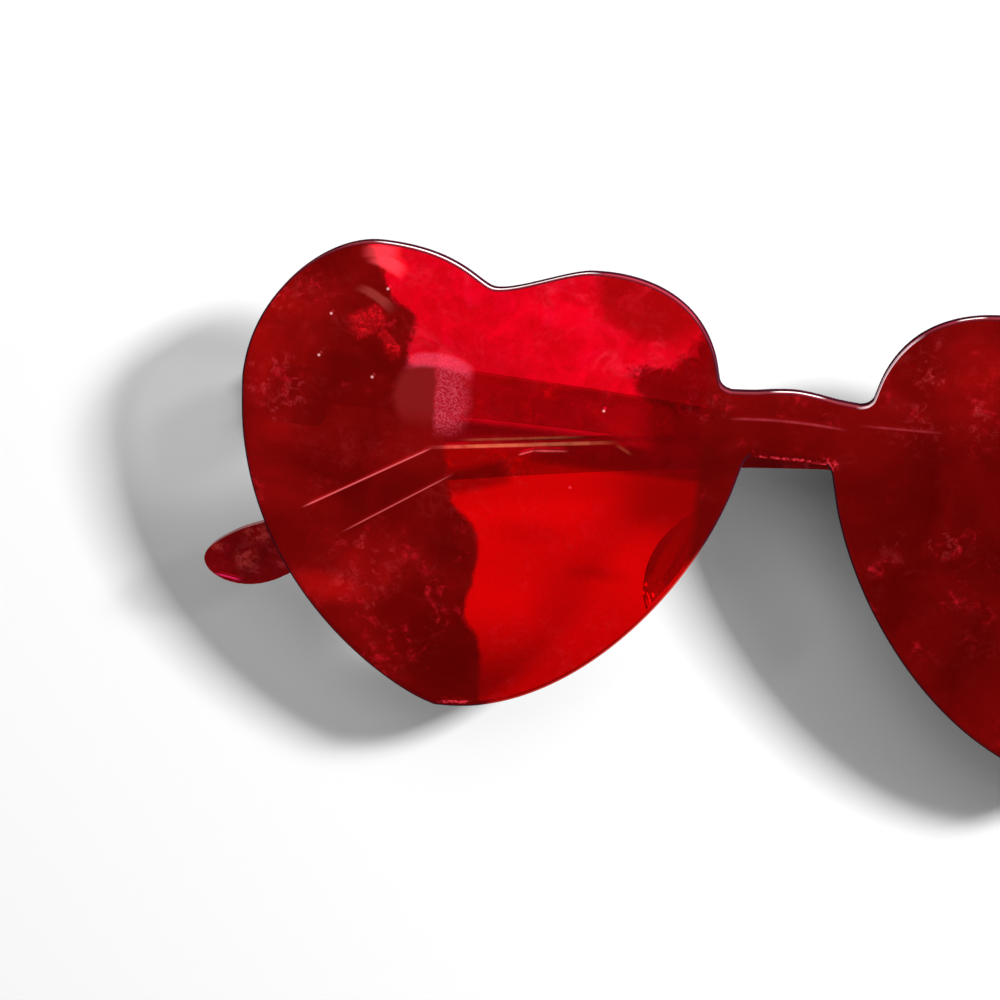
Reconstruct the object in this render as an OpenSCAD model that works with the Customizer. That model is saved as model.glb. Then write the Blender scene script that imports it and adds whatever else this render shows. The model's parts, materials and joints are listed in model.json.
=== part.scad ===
// Heart shaped sunglasses with a rimless one-piece front, lying face up with both temples folded.
// Millimetres. +X runs along the front, +Y towards the top of the hearts and +Z away from the table.
// Every piece is drawn in the sheet's own frame, whose z = 0 is the back face of the sheet and
// whose y = 0 is the line that heights are measured from, and lie() then lays it on the table.
// Left and right are the wearer's: the left temple is hinged at +X and folds first.

/* [Front sheet] */
// Width of the front over both hearts
front_w = 148.2; // [130:0.1:160]
// Height of a heart, from its tip to its highest lobe
heart_h = 64.2; // [52:0.1:72]
// Narrowest gap between the hearts, under the bridge
nose_gap = 12.4; // [10:0.1:16]
// Thickness of the sheet that the front is cut from
sheet_t = 2.2; // [1.8:0.1:3]
// Height of the bridge at its middle
bridge_h = 9; // [6:0.1:11]
// Rise of the bridge's middle above the line that heights are measured from
bridge_rise = 0.4; // [0:0.1:1]
// Drop of the bridge's top edge from its middle to its ends
bridge_sag = 0.9; // [0:0.1:1.2]
// Reach of the rounded corners where the bridge runs into a heart
bridge_corner = 2; // [1.5:0.1:3]
// Share of the heart's height that lies below the line that heights are measured from
heart_low_share = 0.705; // [0.66:0.005:0.74]

/* [Nose pads] */
// Widest part of a pad, across the heart's edge
pad_w = 4.6; // [3:0.1:6]
// How far a pad stands out behind the sheet
pad_depth = 3.2; // [2:0.1:3.8]
// Step back from the heart's edge to the pad
pad_inset = 0.5; // [0.3:0.1:1]

/* [Hinges] */
// Step from the outer edge of the front to the hinge pin
hinge_in = 7.6; // [6:0.1:12]
// Distance of the hinge's middle below the line that heights are measured from
hinge_low = 3.6; // [0:0.1:8]
// Distance from the back of the sheet to the middle of the pin
pin_depth = 7.2; // [6:0.1:8]
// Width of the hinge block along the front
block_w = 8.4; // [7:0.1:10]
// Height of the hinge block
block_h = 8.2; // [7:0.1:9]
// Depth of the hinge block behind the sheet
block_depth = 5; // [3.5:0.1:5.2]
// Corner radius of the hinge block
block_r = 1.6; // [0.8:0.1:2.5]
// Radius of the lugs and of the temple's knuckle
knuckle_r = 1.8; // [1.5:0.05:1.9]
// Height of the temple's knuckle, which turns between the lugs
knuckle_h = 2.8; // [2:0.1:3.4]
// Height of each lug
lug_h = 2.1; // [1.5:0.1:2.4]
// Gap between the knuckle and a lug
lug_gap = 0.1; // [0.05:0.05:0.3]
// Radius of the hinge screw's shank
pin_r = 0.7; // [0.5:0.05:0.9]
// Radial running clearance round the shank
pin_clearance = 0.05; // [0.02:0.01:0.1]
// Radius of the hinge screw's head
screw_head_r = 1.25; // [1:0.05:1.6]
// Height of the hinge screw's head
screw_head_h = 0.8; // [0.5:0.1:1.2]
// Width of the slot in the screw's head
slot_w = 0.35; // [0.2:0.05:0.5]
// Depth of the slot in the screw's head
slot_depth = 0.4; // [0.2:0.05:0.6]

/* [Temples] */
// Length of a temple along the front, from the pin to the tip of the ear
temple_len = 145.2; // [130:0.1:150]
// Length from the pin to the bend of the ear
ear_at = 113.5; // [95:0.1:118]
// Drop of the middle line at the bend
bend_drop = 8.7; // [4:0.1:12]
// Drop of the middle line at the tip of the ear
tip_drop = 25; // [20:0.1:30]
// Thickness of a temple at the hinge
root_t = 2.4; // [1.8:0.1:2.8]
// Thickness of the rest of a temple
temple_t = 1.4; // [1.2:0.1:2]
// Length from the pin over which the outer face tapers from one thickness to the other
taper_len = 32; // [20:1:34]
// How far the tip of the ear turns in towards the head
toe_in = 2; // [0:0.1:2.4]
// Width of a temple at the hinge
root_w = 7.2; // [5:0.1:7.5]
// Width of a temple at the bend
neck_w = 4.7; // [3.5:0.1:6]
// Greatest width of the ear
ear_w = 8.7; // [6:0.1:10]
// Gap from the temple's inner face to the knuckle's round
web_gap = 0.3; // [0.2:0.05:0.6]
// Gap between the end of an opened temple and the hinge block
stop_gap = 0.2; // [0.1:0.05:0.4]

/* [Folded pose] */
// Gap between the tip of the inner ear and the sheet
ear_gap = 0.5; // [0.4:0.1:1.2]
// Gap between the two temples where they cross
cross_gap = 0.35; // [0.3:0.05:0.8]

/* [Hidden] */
// Points on each stretch of the outlines
steps = 14;
// Rings and points of a nose pad
pad_rings = 7;
pad_steps = 20;
$fn = 48;

half_w = front_w / 2;
half_gap = nose_gap / 2;
heart_w = half_w - half_gap;
tip_y = -heart_low_share * heart_h;
bridge_top = bridge_rise + bridge_h / 2;
bridge_low = bridge_rise - bridge_h / 2;
hinge_x = half_w - hinge_in;
hinge_y = -hinge_low;

// The heart from the top of the bridge, over both lobes and round the tip to the foot of the bridge.
// Each row: place across the heart, place up the heart, heading, handle before and handle after,
// where a handle is a share of the stretch it shapes.
heart_shares = [
  [0.060, 0.790, 79, 0.40, 0.66],
  [0.318, 0.984, 0, 0.04, 0.24],
  [0.510, 0.928, 0, 0.24, 0.14],
  [0.742, 1.000, 0, 0.68, 0.28],
  [1.000, 0.672, -90, 0.43, 0.57],
  [0.557, 0.000, -180, 0.08, 0.33],
  [0.000, 0.600, -258, 0.33, 0.40]
];
// Stretch of the heart's lower inner edge that carries the nose pad, and where the pad is widest
pad_from_share = 0.61;
pad_to_share = 0.97;
pad_peak_share = 0.42;
// Place of the widest part of the ear, and the length of its round end, along the ear
ear_wide_share = 0.85;
ear_round_share = 0.3;
// Slope of a temple just before the bend, as a share of its slope from pin to bend
droop_share = 2.4;
// Slope of the ear's tip, which curls up, as a share of the ear's slope from bend to tip
tip_curl_share = -0.3;
// Pull of the handles that shape a temple's middle line, and of those that shape the ear's
arm_handle_share = 0.42;
ear_out_share = 0.5;
ear_in_share = 0.3;
// Share of the ear's length over which its heading takes over from the temple's
ear_blend_share = 0.12;
// Overrun of cuts past the faces they cut
over = 0.5;

function unit(a) = [cos(a), sin(a)];
// Point at share t of the cubic from p to q with headings a and b, and handles as shares of the distance
function curve_at(t, p, a, out_share, q, b, in_share) =
  let (d = norm(q - p))
  pow(1 - t, 3) * p
    + 3 * pow(1 - t, 2) * t * (p + out_share * d * unit(a))
    + 3 * (1 - t) * pow(t, 2) * (q - in_share * d * unit(b))
    + pow(t, 3) * q;
// The cubic's points at n even steps, without its end
function curve(p, a, out_share, q, b, in_share, n) =
  [for (i = [0 : n - 1]) curve_at(i / n, p, a, out_share, q, b, in_share)];
// Place of row i of the heart's table
function heart_at(i) = [
  half_gap + heart_shares[i][0] * heart_w,
  tip_y + heart_shares[i][1] * heart_h
];
// One stretch of the heart, from row i to the next
function stretch(i, n) = curve(
  heart_at(i), heart_shares[i][2], heart_shares[i][4],
  heart_at(i + 1), heart_shares[i + 1][2], heart_shares[i + 1][3], n
);
heart_rows = len(heart_shares);
bridge_end = [heart_at(0).x - bridge_corner, bridge_top - bridge_sag];
bridge_foot = [heart_at(heart_rows - 1).x - bridge_corner, bridge_low];
// Right half of the front, from the middle of the bridge's top to the middle of its foot
half_front = concat(
  curve([0, bridge_top], 0, 1 / 3, bridge_end, 0, 1 / 3, 3),
  curve(bridge_end, 0, 0.4, heart_at(0), heart_shares[0][2], heart_shares[0][3], 6),
  [for (i = [0 : heart_rows - 2]) each stretch(i, steps)],
  curve(
    heart_at(heart_rows - 1), heart_shares[heart_rows - 1][2], heart_shares[heart_rows - 1][4],
    bridge_foot, -180, 0.4, 6
  ),
  [bridge_foot]
);
front_points = concat(
  half_front,
  [for (i = [len(half_front) - 1 : -1 : 1]) [-half_front[i].x, half_front[i].y]]
);

// Places of the hinge and its temple
web = knuckle_r + web_gap;
root_depth = pin_depth + web;
root_end = pin_depth - block_depth - stop_gap;
lug_top = knuckle_h / 2 + lug_gap + lug_h;

// Middle line of a temple: nearly level at the hinge, drooping to the bend, then along the ear
bend_point = [ear_at, -bend_drop];
tip_point = [temple_len, -tip_drop];
arm_angle = droop_share * atan(bend_drop / ear_at);
ear_angle = atan((tip_drop - bend_drop) / (temple_len - ear_at));
arm_line = curve([0, 0], 0, arm_handle_share, bend_point, -arm_angle, arm_handle_share, 2 * steps);
// Half the width of a temple at distance u from the pin, before the ear: it narrows most near the hinge
function arm_half(u) = (neck_w + (root_w - neck_w) * pow(1 - u / ear_at, 2)) / 2;
// Half the width of the ear at a share s of its length: it swells to its widest place and ends in a round
function ear_half(s) =
  let (
    swell = (1 - cos(180 * min(1, s / ear_wide_share))) / 2,
    past = max(0, (s - 1 + ear_round_share) / ear_round_share)
  )
  (neck_w + (ear_w - neck_w) * swell) / 2 * sqrt(max(0, 1 - past * past));
// Shares of the ear's length at which its outline has points, closer together round the end
ear_stops = concat(
  [for (i = [0 : steps - 1]) (1 - ear_round_share) * i / steps],
  [for (i = [0 : steps]) 1 - ear_round_share + ear_round_share * sin(90 * i / steps)]
);
ear_line = [
  for (s = ear_stops)
  curve_at(s, bend_point, -ear_angle, ear_out_share, tip_point, -ear_angle * tip_curl_share, ear_in_share)
];
// Heading of a line at point i, from the points on either side of it
function heading_at(line, i) =
  let (a = line[max(0, i - 1)], b = line[min(len(line) - 1, i + 1)])
  atan((b.y - a.y) / (b.x - a.x));
// Rows of middle point, heading and half width along the whole temple
temple_rows = concat(
  [[[-root_end, 0], 0, root_w / 2]],
  [for (i = [0 : len(arm_line) - 1]) [arm_line[i], heading_at(arm_line, i), arm_half(arm_line[i].x)]],
  [
    for (i = [0 : len(ear_line) - 1])
    let (s = ear_stops[i], turn = min(1, s / ear_blend_share))
    [ear_line[i], heading_at(ear_line, i) + (ear_angle - arm_angle) * (1 - turn) / 2, ear_half(s)]
  ]
);
temple_over = [for (r = temple_rows) r[0] + r[2] * unit(r[1] + 90)];
temple_under = [for (r = temple_rows) r[0] - r[2] * unit(r[1] + 90)];
temple_points = concat(
  temple_over,
  [for (i = [len(temple_under) - 1 : -1 : 0]) temple_under[i]]
);

// Folding angles past parallel. The inner ear stops short of the sheet, and the outer temple clears
// the inner one wherever one lies over the other.
inner_fold = asin((root_depth - toe_in - ear_gap) / temple_len);
function under_at(x) = lookup(x, [for (p = temple_under) [p.x, p.y]]);
function over_at(x) = lookup(x, [for (p = temple_over) [p.x, p.y]]);
function outer_face(u) = lookup(u, [[0, root_t], [taper_len, temple_t], [ear_at, temple_t], [temple_len, temple_t - toe_in]]);
function inner_back(x) =
  root_depth - (hinge_x - x) * tan(inner_fold) + outer_face(hinge_x - x) / cos(inner_fold);
cross_places = [
  for (i = [0 : 4 * steps])
  let (x = hinge_x * i / (4 * steps))
  if (over_at(hinge_x + x) > under_at(hinge_x - x) - cross_gap) x
];
outer_fold = min([
  for (x = cross_places) atan((root_depth - inner_back(x) - cross_gap) / (hinge_x + x))
]);

// The glasses rest on the lower corners of both temples' ends, and lean towards the hearts' tips
// until the next point meets the table. Each row is a height up the sheet and a depth behind it.
function back_rows(fold) = [
  for (p = temple_points)
  [hinge_y + p.y, pin_depth + (web + outer_face(p.x)) * cos(fold) - p.x * sin(fold)]
];
rest_row = [
  hinge_y - root_w / 2,
  pin_depth + (web + root_t) * cos(inner_fold) + root_end * sin(inner_fold)
];
lean_rows = concat(back_rows(inner_fold), back_rows(outer_fold), [[tip_y, 0]]);
lie_pitch = min([
  for (r = lean_rows)
  if (r[0] < rest_row[0] - root_w / 2) atan((rest_row[1] - r[1]) / (rest_row[0] - r[0]))
]);
lift = max([
  for (r = concat([rest_row], lean_rows)) r[1] * cos(lie_pitch) - r[0] * sin(lie_pitch)
]);

// Shift up the table that brings the middle of the glasses over the frame's origin
high_y = max([for (p = front_points) p.y]) * cos(lie_pitch);
low_y = min([for (p = front_points) p.y]) * cos(lie_pitch) - sheet_t * sin(lie_pitch);
shift_y = -(high_y + low_y) / 2;

// Lays a piece of the folded glasses on the table
module lie() {
  translate([0, shift_y, lift])
    rotate([lie_pitch, 0, 0])
      children();
}

// Puts a piece of the left side at its place, and mirrors it for the right side
module side(s) {
  lie()
    mirror([s < 0 ? 1 : 0, 0, 0])
      children();
}

// Flat plate with round corners, standing on z = 0
module round_plate(w, h, r, t) {
  linear_extrude(t) {
    square([w - 2 * r, h], center = true);
    square([w, h - 2 * r], center = true);
    for (x = [-1, 1], y = [-1, 1])
      translate([x * (w / 2 - r), y * (h / 2 - r)])
        circle(r);
  }
}

// Cylinder along Y, centred on its own middle
module pin_bar(r, h) {
  rotate([90, 0, 0])
    cylinder(r = r, h = h, center = true);
}

module lens_front() {
  color([0.78, 0.02, 0.05, 0.7])
    lie()
      linear_extrude(sheet_t)
        polygon(front_points);
}

// Outline of a nose pad at height share h: 0 is its foot on the sheet and 1 its crown
pad_edge = stretch(heart_rows - 2, 2 * steps);
function pad_ring(h) =
  let (
    n = len(pad_edge) - 1,
    from = pad_from_share * n,
    span = (pad_to_share - pad_from_share) * n,
    full = sqrt(max(0, 1 - h * h)),
    place = function (s)
      let (f = from + s * span, i = min(n - 1, floor(f)))
      pad_edge[i] + (f - i) * (pad_edge[i + 1] - pad_edge[i]),
    inward = function (s)
      let (f = from + s * span, i = min(n - 1, floor(f)), d = pad_edge[i + 1] - pad_edge[i])
      [d.y, -d.x] / norm(d),
    bulge = function (s)
      pad_w * pow(sin(180 * pow(s, ln(0.5) / ln(pad_peak_share))), 0.9),
    mid = function (s)
      place(s) + (pad_inset + 0.35 * bulge(s)) * inward(s)
  )
  concat(
    [for (i = [0 : pad_steps]) let (s = 0.5 + (i / pad_steps - 0.5) * (0.55 + 0.45 * full))
      mid(s) - 0.35 * bulge(s) * full * inward(s)],
    [for (i = [pad_steps - 1 : -1 : 1]) let (s = 0.5 + (i / pad_steps - 0.5) * (0.55 + 0.45 * full))
      mid(s) + 0.65 * bulge(s) * full * inward(s)]
  );

// Crescent pad with a domed crown, bonded behind the heart's lower inner edge
module nose_pad() {
  tall = [for (k = [0 : pad_rings - 1]) sin(82 * k / (pad_rings - 1))];
  count = len(pad_ring(0));
  points = [
    for (h = tall)
    each [for (p = pad_ring(h)) [p.x, p.y, -pad_depth * h / tall[pad_rings - 1]]]
  ];
  walls = [
    for (k = [0 : pad_rings - 2], i = [0 : count - 1])
    [k * count + i, k * count + (i + 1) % count, (k + 1) * count + (i + 1) % count, (k + 1) * count + i]
  ];
  foot = [[for (i = [count - 1 : -1 : 0]) i]];
  crown = [[for (i = [0 : count - 1]) (pad_rings - 1) * count + i]];
  polyhedron(points, concat(foot, walls, crown));
}

module left_nose_pad() {
  color([0.82, 0.05, 0.08, 0.7])
    side(1)
      nose_pad();
}

module right_nose_pad() {
  color([0.82, 0.05, 0.08, 0.7])
    side(-1)
      nose_pad();
}

// Block bonded behind the heart's outer edge, with two lugs that hold the pin
module hinge_block() {
  difference() {
    union() {
      translate([hinge_x + web + root_t - block_w / 2, hinge_y, -block_depth])
        round_plate(block_w, block_h, block_r, block_depth);
      for (s = [-1, 1])
        translate([hinge_x, hinge_y + s * (lug_top - lug_h / 2), 0]) {
          translate([0, 0, -pin_depth])
            pin_bar(knuckle_r, lug_h);
          translate([-knuckle_r, -lug_h / 2, -pin_depth])
            cube([2 * knuckle_r, lug_h, pin_depth - block_depth / 2]);
        }
    }
    translate([hinge_x, hinge_y, -pin_depth])
      pin_bar(pin_r + pin_clearance, 2 * lug_top + 2 * over);
  }
}

module left_hinge_block() {
  color([0.7, 0.02, 0.05, 0.75])
    side(1)
      hinge_block();
}

module right_hinge_block() {
  color([0.7, 0.02, 0.05, 0.75])
    side(-1)
      hinge_block();
}

// Slotted steel screw that is the hinge's pin
module hinge_screw() {
  translate([hinge_x, hinge_y, -pin_depth])
    difference() {
      union() {
        pin_bar(pin_r, 2 * lug_top);
        translate([0, lug_top + screw_head_h / 2, 0])
          pin_bar(screw_head_r, screw_head_h);
      }
      translate([-screw_head_r - over, lug_top + screw_head_h - slot_depth, -slot_w / 2])
        cube([2 * (screw_head_r + over), slot_depth + over, slot_w]);
    }
}

module left_hinge_screw() {
  color([0.72, 0.72, 0.74])
    side(1)
      hinge_screw();
}

module right_hinge_screw() {
  color([0.72, 0.72, 0.74])
    side(-1)
      hinge_screw();
}

// Side of a temple: its outer face tapers from the hinge, and the ear turns in towards the head
ear_end = temple_len + ear_w;
ear_end_in = toe_in * (ear_end - ear_at) / (temple_len - ear_at);
side_points = [
  [-root_end - over, -web],
  [ear_at, -web],
  [ear_end, ear_end_in - web],
  [ear_end, ear_end_in - web - temple_t],
  [ear_at, -web - temple_t],
  [taper_len, -web - temple_t],
  [0, -web - root_t],
  [-root_end - over, -web - root_t]
];

// Flat temple with a swelling ear and the knuckle that turns on the pin, in the pin's own frame
module temple_blank() {
  difference() {
    union() {
      intersection() {
        translate([0, 0, -web - root_t])
          linear_extrude(root_t + toe_in + over)
            polygon(temple_points);
        translate([0, temple_len / 2, 0])
          rotate([90, 0, 0])
            linear_extrude(temple_len)
              polygon(side_points);
      }
      pin_bar(knuckle_r, knuckle_h);
      translate([-knuckle_r, -knuckle_h / 2, -web - root_t / 2])
        cube([2 * knuckle_r, knuckle_h, web + root_t / 2]);
    }
    pin_bar(pin_r + pin_clearance, knuckle_h + 2 * over);
  }
}

// Temple folded behind the front by an angle past parallel
module temple(fold) {
  translate([hinge_x, hinge_y, -pin_depth])
    mirror([1, 0, 0])
      rotate([0, -fold, 0])
        temple_blank();
}

module left_temple() {
  color([0.72, 0.02, 0.05, 0.75])
    side(1)
      temple(inner_fold);
}

module right_temple() {
  color([0.72, 0.02, 0.05, 0.75])
    side(-1)
      temple(outer_fold);
}

lens_front();
left_nose_pad();
right_nose_pad();
left_hinge_block();
right_hinge_block();
left_hinge_screw();
right_hinge_screw();
left_temple();
right_temple();
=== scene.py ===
"""Heart shaped sunglasses in clear red plastic, folded and lying face up on a pale table."""

import json
import math

import bpy
import numpy as np
from mathutils import Matrix, Vector


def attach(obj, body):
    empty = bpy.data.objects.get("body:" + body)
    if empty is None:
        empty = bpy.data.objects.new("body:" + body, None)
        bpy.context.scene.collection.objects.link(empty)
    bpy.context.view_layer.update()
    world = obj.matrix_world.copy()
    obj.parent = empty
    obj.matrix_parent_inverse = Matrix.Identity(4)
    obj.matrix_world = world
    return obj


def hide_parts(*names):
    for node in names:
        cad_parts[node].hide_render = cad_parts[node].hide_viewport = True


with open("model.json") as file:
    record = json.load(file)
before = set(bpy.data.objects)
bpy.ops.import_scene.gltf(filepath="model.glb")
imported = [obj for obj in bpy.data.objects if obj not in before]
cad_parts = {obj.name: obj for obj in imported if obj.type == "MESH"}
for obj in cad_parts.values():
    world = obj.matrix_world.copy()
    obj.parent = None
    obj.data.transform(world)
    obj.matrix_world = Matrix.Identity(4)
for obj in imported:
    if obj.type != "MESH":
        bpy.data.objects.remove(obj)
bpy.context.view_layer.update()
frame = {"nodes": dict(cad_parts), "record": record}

MM = 0.001
FRONT_FACE = next(m for m in frame["record"]["mounts"] if m["name"] == "front_face")

# The sheet's own frame: X along the front, Y up the hearts, Z out of the front face.
# The record's mount on the front face stands at FACE_MARK in it, measured from the bridge's middle.
FACE_MARK = Vector((-40.0, -2.0, 0.0)) * MM
SHEET_Z = Vector(FRONT_FACE["axis"]).normalized()
SHEET_X = Vector((1.0, 0.0, 0.0))
SHEET_Y = SHEET_Z.cross(SHEET_X)
SHEET_AXES = Matrix((SHEET_X, SHEET_Y, SHEET_Z)).transposed()
SHEET_ORIGIN = Vector(FRONT_FACE["pos_m"]) - SHEET_AXES @ FACE_MARK
SHEET_T = 2.2 * MM


def from_sheet(x, y, z=0.0):
    """Place in the row frame of a point given in millimetres in the sheet's frame."""
    return SHEET_ORIGIN + SHEET_AXES @ (Vector((x, y, z)) * MM)


def on_sheet(points):
    """Array of row-frame points, in metres, turned into the sheet's frame."""
    axes = np.array(SHEET_AXES)
    return (points - np.array(SHEET_ORIGIN)) @ axes


def off_sheet(points):
    """Array of points in the sheet's frame, in metres, turned into the row frame."""
    axes = np.array(SHEET_AXES)
    return points @ axes.T + np.array(SHEET_ORIGIN)


# Node graphs

class Graph:
    """Short way to add and join shader nodes in one tree. A value is a number, a colour or another
    node's output."""

    def __init__(self, tree):
        self.tree = tree

    def add(self, kind, **settings):
        node = self.tree.nodes.new(kind)
        for name, value in settings.items():
            setattr(node, name, value)
        return node

    def put(self, socket, value):
        if isinstance(value, bpy.types.NodeSocket):
            self.tree.links.new(value, socket)
        else:
            socket.default_value = value

    def math(self, operation, *values, clamp=False):
        node = self.add("ShaderNodeMath", operation=operation, use_clamp=clamp)
        for socket, value in zip(node.inputs, values):
            self.put(socket, value)
        return node.outputs[0]

    def mix(self, share, first, second):
        node = self.add("ShaderNodeMix", data_type="RGBA")
        self.put(node.inputs[0], share)
        self.put(node.inputs[6], first)
        self.put(node.inputs[7], second)
        return node.outputs[2]

    def ramp(self, value, low, high, low_out=0.0, high_out=1.0):
        """Smooth rise from low_out to high_out while value goes from low to high."""
        node = self.add("ShaderNodeMapRange", interpolation_type="SMOOTHSTEP")
        self.put(node.inputs[0], value)
        for socket, number in zip(node.inputs[1:5], (low, high, low_out, high_out)):
            self.put(socket, number)
        return node.outputs[0]

    def ramp_line(self, value, low, high, low_out, high_out):
        """Straight rise from low_out to high_out while value goes from low to high."""
        node = self.add("ShaderNodeMapRange", clamp=True)
        self.put(node.inputs[0], value)
        for socket, number in zip(node.inputs[1:5], (low, high, low_out, high_out)):
            self.put(socket, number)
        return node.outputs[0]

    def noise(self, place, scale, detail=3.0, roughness=0.55, distortion=0.0):
        node = self.add("ShaderNodeTexNoise")
        self.put(node.inputs["Vector"], place)
        self.put(node.inputs["Scale"], scale)
        self.put(node.inputs["Detail"], detail)
        self.put(node.inputs["Roughness"], roughness)
        self.put(node.inputs["Distortion"], distortion)
        return node.outputs["Fac"]


def new_material(name):
    """Empty material and the graph of its tree."""
    material = bpy.data.materials.new(name)
    material.use_nodes = True
    material.node_tree.nodes.clear()
    return material, Graph(material.node_tree)


def new_group(name, inputs, outputs, build):
    """Shader node group with named inputs and outputs, filled in by build(graph, inputs, outputs). An
    input without a starting number is a vector."""
    tree = bpy.data.node_groups.new(name, "ShaderNodeTree")
    for socket, start in inputs.items():
        kind = "NodeSocketVector" if start is None else "NodeSocketFloat"
        made = tree.interface.new_socket(socket, in_out="INPUT", socket_type=kind)
        if start is not None:
            made.default_value = start
    for socket in outputs:
        tree.interface.new_socket(socket, in_out="OUTPUT", socket_type="NodeSocketFloat")
    g = Graph(tree)
    build(g, g.add("NodeGroupInput").outputs, g.add("NodeGroupOutput").inputs)
    return tree


def build_clouds(g, given, out):
    """Soft uneven depth of the tint: coarse noise with finer noise over it, as a value about 0 to 1."""
    coarse = g.noise(given["Place"], given["Scale"], 4.0, 0.6, 0.6)
    g.put(out["Depth"], g.ramp(coarse, 0.3, 0.7))


def build_specks(g, given, out):
    """Dust: round dots of random sizes at random places, kept only where their random number is under
    Share."""
    cells = g.add("ShaderNodeTexVoronoi")
    g.put(cells.inputs["Vector"], given["Place"])
    g.put(cells.inputs["Scale"], given["Scale"])
    chance = g.add("ShaderNodeSeparateColor")
    g.put(chance.inputs[0], cells.outputs["Color"])
    kept = g.math("LESS_THAN", chance.outputs[0], given["Share"])
    size = g.math("MULTIPLY_ADD", chance.outputs[1], 0.1, 0.03)
    near = g.math("LESS_THAN", cells.outputs["Distance"], size)
    g.put(out["Mask"], g.math("MULTIPLY", near, kept))


def build_rubs(g, given, out):
    """Thin curling lines where a noise passes its middle value, broken up by coarser noise: scratches and
    lint, and also painted wisps of light."""
    line = g.noise(given["Place"], given["Scale"], 2.5, 0.6, 1.2)
    off = g.math("ABSOLUTE", g.math("SUBTRACT", line, 0.5))
    thin = g.ramp(off, 0.0, given["Width"], 1.0, 0.0)
    breaks = g.ramp(g.noise(given["Place"], g.math("MULTIPLY", given["Scale"], 0.9), 2.0), 0.52, 0.62)
    where = g.ramp(g.noise(given["Place"], g.math("MULTIPLY", given["Scale"], 0.2), 2.0), 0.46, 0.6)
    g.put(out["Mask"], g.math("MULTIPLY", thin, g.math("MULTIPLY", breaks, where)))


def build_blots(g, given, out):
    """Mottles: small soft patches with ragged sides, gathered in clusters, used for painted glow and pale
    flecks.
    """
    small = g.ramp(g.noise(given["Place"], given["Scale"], 4.0, 0.6, 0.5), 0.5, 0.76)
    cluster = g.noise(given["Place"], g.math("MULTIPLY", given["Scale"], 0.2), 3.0, 0.5, 0.3)
    g.put(out["Mask"], g.math("MULTIPLY", small, g.ramp(cluster, 0.5, 0.64)))


CLOUDS = new_group("tint_clouds", {"Place": None, "Scale": 60.0}, ["Depth"], build_clouds)
BLOTS = new_group("tint_blots", {"Place": None, "Scale": 420.0}, ["Mask"], build_blots)
SPECKS = new_group("dust_specks", {"Place": None, "Scale": 400.0, "Share": 0.05}, ["Mask"], build_specks)
SCRATCH_AND_WISP_LINES = new_group("scratches", {"Place": None, "Scale": 200.0, "Width": 0.02}, ["Mask"], build_rubs)


def sheet_place(g):
    """Object coordinates turned into the sheet's X and Y, in millimetres, and the coordinates
    themselves."""
    place = g.add("ShaderNodeTexCoord").outputs["Object"]
    found = []
    for axis in (SHEET_X, SHEET_Y):
        dot = g.add("ShaderNodeVectorMath", operation="DOT_PRODUCT")
        g.put(dot.inputs[0], place)
        dot.inputs[1].default_value = axis / MM
        found.append(g.math("SUBTRACT", dot.outputs["Value"], SHEET_ORIGIN.dot(axis) / MM))
    return place, found[0], found[1]


def spot(g, x, y, centre, reach, soft=0.5):
    """1 inside an ellipse at centre with the given half sizes, falling to 0 over its outer part."""
    across = g.math("DIVIDE", g.math("SUBTRACT", x, centre[0]), reach[0])
    along = g.math("DIVIDE", g.math("SUBTRACT", y, centre[1]), reach[1])
    square = g.math("ADD", g.math("MULTIPLY", across, across), g.math("MULTIPLY", along, along))
    away = g.math("SQRT", square)
    return g.ramp(away, 1.0 - soft, 1.0 + soft, 1.0, 0.0)


def stroke(g, x, y, start, end, width, fade=4.0, bow=0.0):
    """1 on a line from start to end, falling to 0 at half its width and fading out at both ends. The
    line is a shallow arc whose middle stands to the left of the straight one by bow."""
    run = Vector(end) - Vector(start)
    along, across = run.normalized(), Vector((-run.normalized()[1], run.normalized()[0]))
    dx, dy = g.math("SUBTRACT", x, start[0]), g.math("SUBTRACT", y, start[1])
    s = g.math("MULTIPLY_ADD", dy, along[1], g.math("MULTIPLY", dx, along[0]))
    t = g.math("MULTIPLY_ADD", dy, across[1], g.math("MULTIPLY", dx, across[0]))
    if bow:
        arc = g.math("MULTIPLY", s, g.math("SUBTRACT", run.length, s))
        t = g.math("MULTIPLY_ADD", arc, -4.0 * bow / run.length ** 2, t)
    body = g.ramp(g.math("ABSOLUTE", t), width * 0.2, width * 0.5, 1.0, 0.0)
    ends = g.math("MULTIPLY", g.ramp(s, 0.0, fade), g.ramp(s, run.length - fade, run.length, 1.0, 0.0))
    return g.math("MULTIPLY", body, ends)


def between(g, value, low, high, soft):
    """1 where value lies between low and high, both limits softened."""
    above = g.ramp(value, low - soft, low + soft)
    below = g.ramp(value, high - soft, high + soft, 1.0, 0.0)
    return g.math("MULTIPLY", above, below)


def most(g, *masks):
    """The greatest of several masks."""
    found = masks[0]
    for mask in masks[1:]:
        found = g.math("MAXIMUM", found, mask)
    return found


def placed_group(g, tree, place, **values):
    """First output of a node group, read at place with its own values."""
    node = g.add("ShaderNodeGroup", node_tree=tree)
    g.put(node.inputs["Place"], place)
    for name, value in values.items():
        g.put(node.inputs[name], value)
    return node.outputs[0]


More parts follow.
